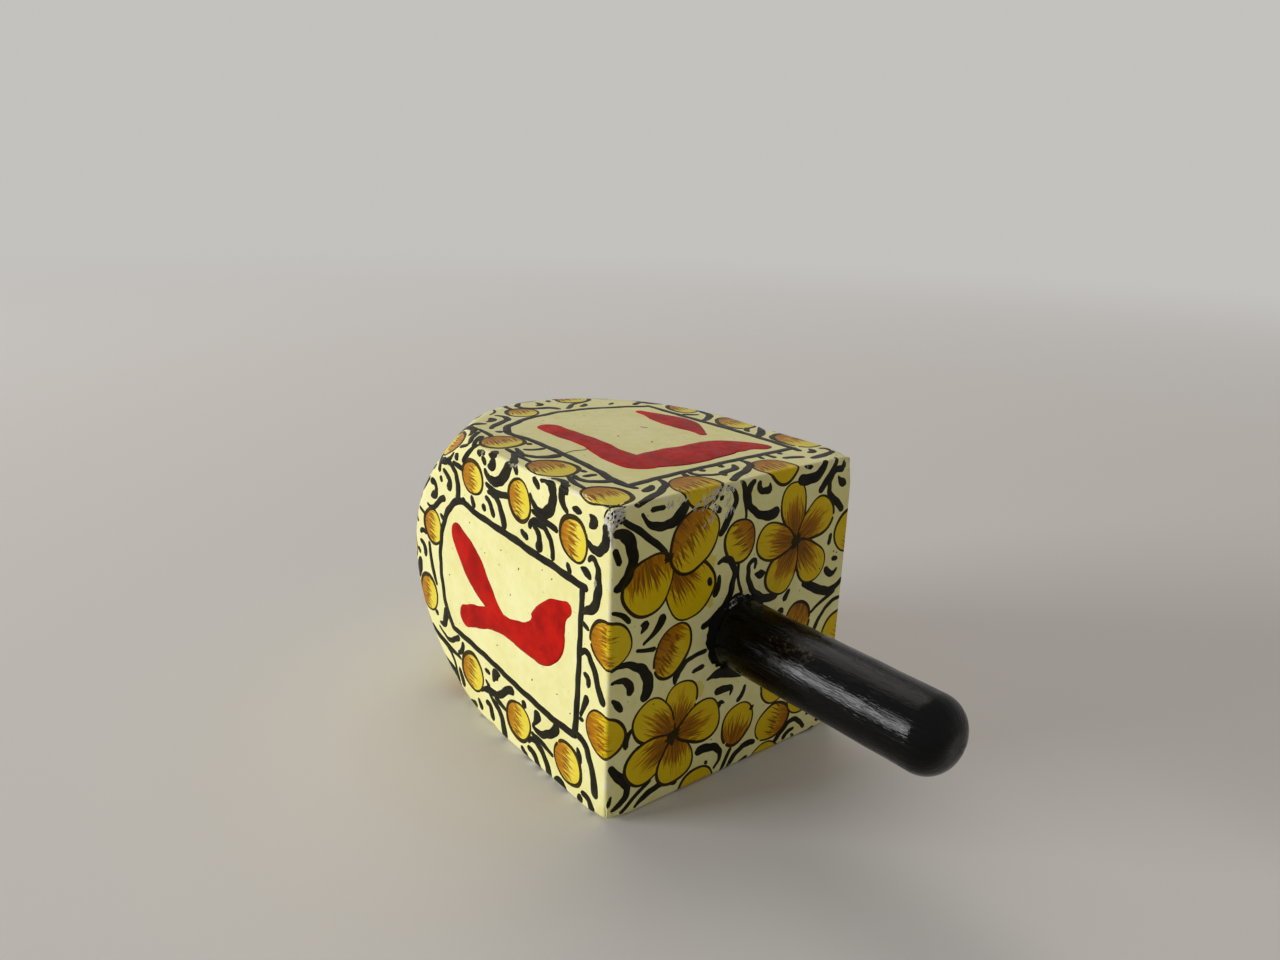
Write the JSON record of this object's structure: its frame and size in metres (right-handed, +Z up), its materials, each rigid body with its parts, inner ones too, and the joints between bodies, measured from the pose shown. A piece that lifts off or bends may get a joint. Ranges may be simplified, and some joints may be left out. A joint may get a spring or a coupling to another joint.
{
  "type": "dreidel",
  "caption": "Square wooden spinning top with a turned point, a round stem to twirl it by, and brush-painted flowers and scrolls over ivory varnish.",
  "frame": {"origin": "on the floor under the middle of the top, which lies on one of its flat sides", "axes": "+X along the spin axis from the spinning point to the free end of the stem, +Z up out of the side that the top lies on"},
  "size_m": [0.1186, 0.05, 0.05],
  "materials": {
    "ivory_varnish": "gloss",
    "black_lacquer": "gloss",
    "dark_glue": "gloss",
    "black_paint": "satin",
    "yellow_paint": "gloss",
    "red_paint": "satin"
  },
  "bodies": {
    "root": {"body_block": "ivory_varnish", "stem": "black_lacquer", "glue_bond": "dark_glue"}
  },
  "joints": []
}
